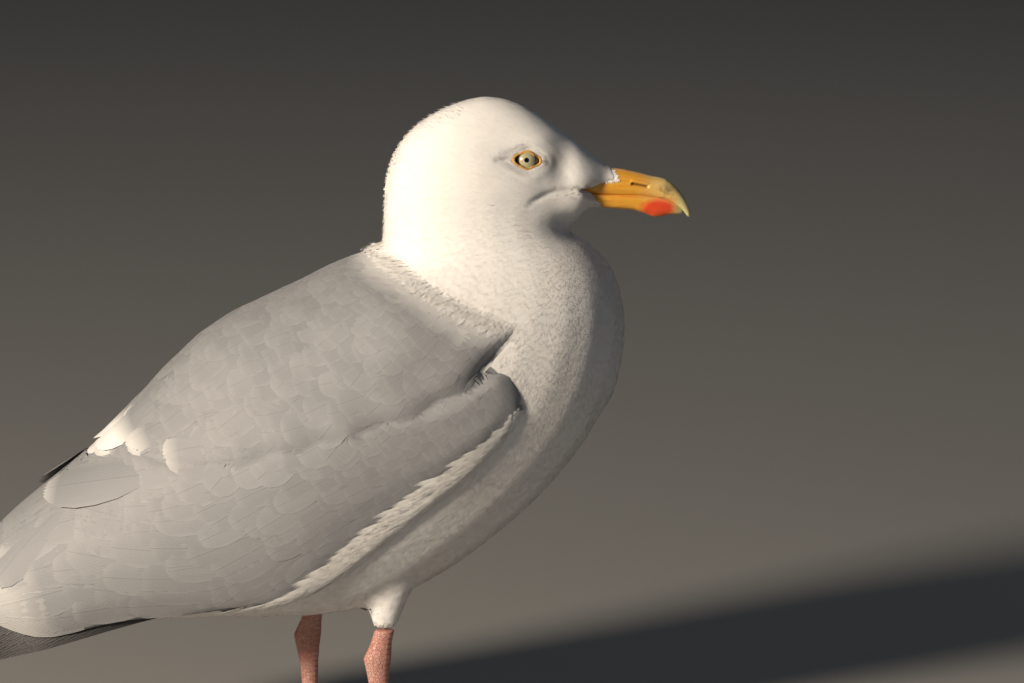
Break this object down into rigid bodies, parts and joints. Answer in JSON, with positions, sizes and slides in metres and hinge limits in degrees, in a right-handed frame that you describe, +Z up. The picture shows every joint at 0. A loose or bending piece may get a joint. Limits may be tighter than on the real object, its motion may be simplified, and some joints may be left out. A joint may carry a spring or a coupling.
{
  "type": "herring gull model",
  "caption": "Life-size still model of an adult herring gull, standing on webbed feet with folded wings, drawn-in neck and hooked bill.",
  "frame": {"origin": "the floor under the middle of the bird's bounding box, between the webbed feet and the tail", "axes": "+X the way the bill points, +Y the bird's left, +Z up"},
  "size_m": [0.453, 0.142, 0.3424],
  "materials": {
    "white_feathers": "soft matt feathers",
    "grey_feathers": "soft matt feathers",
    "black_feathers": "firm satin feathers",
    "bill_horn": "satin horn",
    "leg_skin": "scaled skin",
    "claw_horn": "satin horn",
    "eye": "wet gloss"
  },
  "bodies": {
    "root": {"head": "white_feathers", "neck": "white_feathers", "trunk": "white_feathers", "tail": "white_feathers", "thigh_right": "white_feathers", "thigh_left": "white_feathers", "mantle": "grey_feathers", "scapulars_right": "grey_feathers", "scapulars_left": "grey_feathers", "wing_right": "grey_feathers", "wing_left": "grey_feathers", "tertials_right": "grey_feathers", "tertials_left": "grey_feathers", "primaries_right": "black_feathers", "primaries_left": "black_feathers", "bill_upper": "bill_horn", "bill_lower": "bill_horn", "eye_right": "eye", "eye_left": "eye", "shank_right": "leg_skin", "shank_left": "leg_skin", "foot_right": "leg_skin", "foot_left": "leg_skin", "claw_inner_right": "claw_horn", "claw_middle_right": "claw_horn", "claw_outer_right": "claw_horn", "claw_inner_left": "claw_horn", "claw_middle_left": "claw_horn", "claw_outer_left": "claw_horn"}
  },
  "joints": []
}
